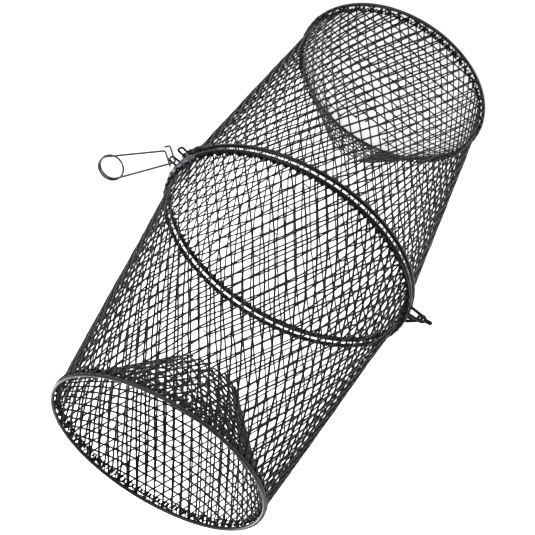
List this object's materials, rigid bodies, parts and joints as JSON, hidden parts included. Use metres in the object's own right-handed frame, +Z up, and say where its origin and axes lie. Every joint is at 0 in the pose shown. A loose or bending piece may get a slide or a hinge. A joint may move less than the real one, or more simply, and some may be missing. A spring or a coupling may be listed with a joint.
{
  "type": "crab trap",
  "caption": "Two-piece crab and crayfish trap of coated expanded-metal mesh, with funnel entrances, wire hoops, a hook hinge and a spring clip.",
  "frame": {"origin": "centre of the circle on which the lower end hoop stands", "axes": "+Z up the trap's axis; -X towards the hinge between the two halves; +X towards the side with the clip, which sits 23 degrees round from +X towards -Y"},
  "size_m": [0.2862, 0.2274, 0.428],
  "materials": {
    "coated_mesh": "glossy black vinyl dip over expanded steel mesh",
    "coated_wire": "glossy black vinyl dip over steel wire",
    "staple_wire": "dull galvanised wire",
    "spring_wire": "bright spring wire"
  },
  "bodies": {
    "base": {"base_sleeve": "coated_mesh", "base_rim_hoop": "coated_wire", "base_end_hoop": "coated_wire", "base_funnel": "coated_mesh", "base_sleeve_staples": "staple_wire", "base_funnel_staples": "staple_wire", "base_hinge_eye": "coated_wire", "base_clip_ear": "coated_wire"},
    "lid": {"lid_sleeve": "coated_mesh", "lid_rim_hoop": "coated_wire", "lid_end_hoop": "coated_wire", "lid_funnel": "coated_mesh", "lid_sleeve_staples": "staple_wire", "lid_funnel_staples": "staple_wire", "lid_hinge_hook": "coated_wire", "lid_clip_ear": "coated_wire"},
    "clip": {"clip_spring": "spring_wire"},
    "clip_latch": {"clip_latch_leg": "spring_wire"}
  },
  "joints": [
    {"name": "lid_hinge", "type": "hinge", "parent": "base", "child": "lid", "pos_m": [-0.124, 0, 0.211], "axis": [0, -1, 0], "range_deg": [0, 112]},
    {"name": "clip_swing", "type": "hinge", "parent": "lid", "child": "clip", "pos_m": [0.11184, -0.04747, 0.217], "axis": [-0.3907, -0.9205, 0], "range_deg": [-70, 0]},
    {"name": "clip_squeeze", "type": "hinge", "parent": "clip", "child": "clip_latch", "pos_m": [0.14185, -0.06021, 0.25998], "axis": [0.3907, 0.9205, 0], "range_deg": [0, 8], "stiffness_Nm_per_rad": 0.25}
  ]
}
